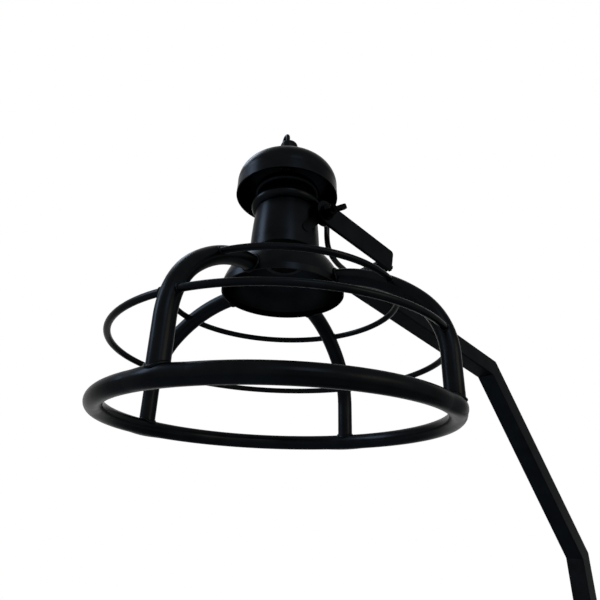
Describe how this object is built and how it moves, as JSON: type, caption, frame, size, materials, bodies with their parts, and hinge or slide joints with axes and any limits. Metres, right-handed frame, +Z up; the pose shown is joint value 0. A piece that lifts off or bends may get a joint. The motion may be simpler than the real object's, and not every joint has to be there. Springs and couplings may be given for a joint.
{
  "type": "floor lamp",
  "caption": "Floor lamp with a round tube cage head on a cranked square-tube stand, tilting on a side strap with a wing nut, over a flat round base.",
  "frame": {"origin": "middle of the base's underside, on the floor", "axes": "+Z up the pole, -X from the pole towards the lamp head along the arm, +Y to the left of +X; the tilt pivot's strap is on the -Y side of the neck"},
  "size_m": [0.8372, 0.35, 1.6823],
  "materials": {
    "frame_paint": "satin black powder coat",
    "black_hardware": "black coated steel",
    "zinc_steel": "plain zinc plated",
    "holder_plastic": "moulded thermoset",
    "shell_brass": "drawn brass",
    "washer_plastic": "fibre washer",
    "pad_rubber": "matte sheet rubber",
    "gland_rubber": "moulded rubber",
    "plug_plastic": "moulded plastic",
    "cable_sheath": "smooth flexible sheath"
  },
  "bodies": {
    "stand": {"base_pad": "pad_rubber", "base_plate": "frame_paint", "pole_foot": "frame_paint", "pole_foot_screws": "black_hardware", "pole_lower": "frame_paint", "pole_upper": "frame_paint", "pole_joint_sleeve": "zinc_steel", "pole_joint_screws": "black_hardware", "arm_slant_tube": "frame_paint", "arm_upper_tube": "frame_paint", "arm_end_plug": "plug_plastic", "inner_cable": "cable_sheath", "cable_inlet": "gland_rubber", "arm_strap": "frame_paint", "strap_tab": "frame_paint", "strap_screws": "black_hardware", "friction_washer": "washer_plastic", "plain_washer": "black_hardware"},
    "head": {"cage_bottom_ring": "frame_paint", "cage_rib_1": "frame_paint", "cage_rib_2": "frame_paint", "cage_rib_3": "frame_paint", "cage_rib_4": "frame_paint", "thin_ring_lower": "frame_paint", "thin_ring_upper": "frame_paint", "bell": "frame_paint", "neck": "frame_paint", "collar": "frame_paint", "cap": "frame_paint", "cap_spacer": "zinc_steel", "lampholder_body": "holder_plastic", "lampholder_screw_shell": "shell_brass", "lampholder_contact": "shell_brass", "lampholder_leads": "cable_sheath", "threaded_tube": "zinc_steel", "threaded_tube_nuts": "zinc_steel", "finial_nut": "frame_paint", "top_loop": "frame_paint", "pivot_lug": "frame_paint", "pivot_bolt": "black_hardware", "cable_gland": "gland_rubber", "head_cable": "cable_sheath"},
    "wing_nut": {"wing_nut": "black_hardware"}
  },
  "joints": [
    {"name": "head_tilt", "type": "hinge", "parent": "stand", "child": "head", "pos_m": [-0.47227, -0.04, 1.565], "axis": [0, 1, 0], "range_deg": [-18, 40], "deforming": ["head_cable"]},
    {"name": "wing_nut_turn", "type": "hinge", "parent": "head", "child": "wing_nut", "pos_m": [-0.47227, -0.04, 1.565], "axis": [0, 1, 0], "continuous": true}
  ]
}
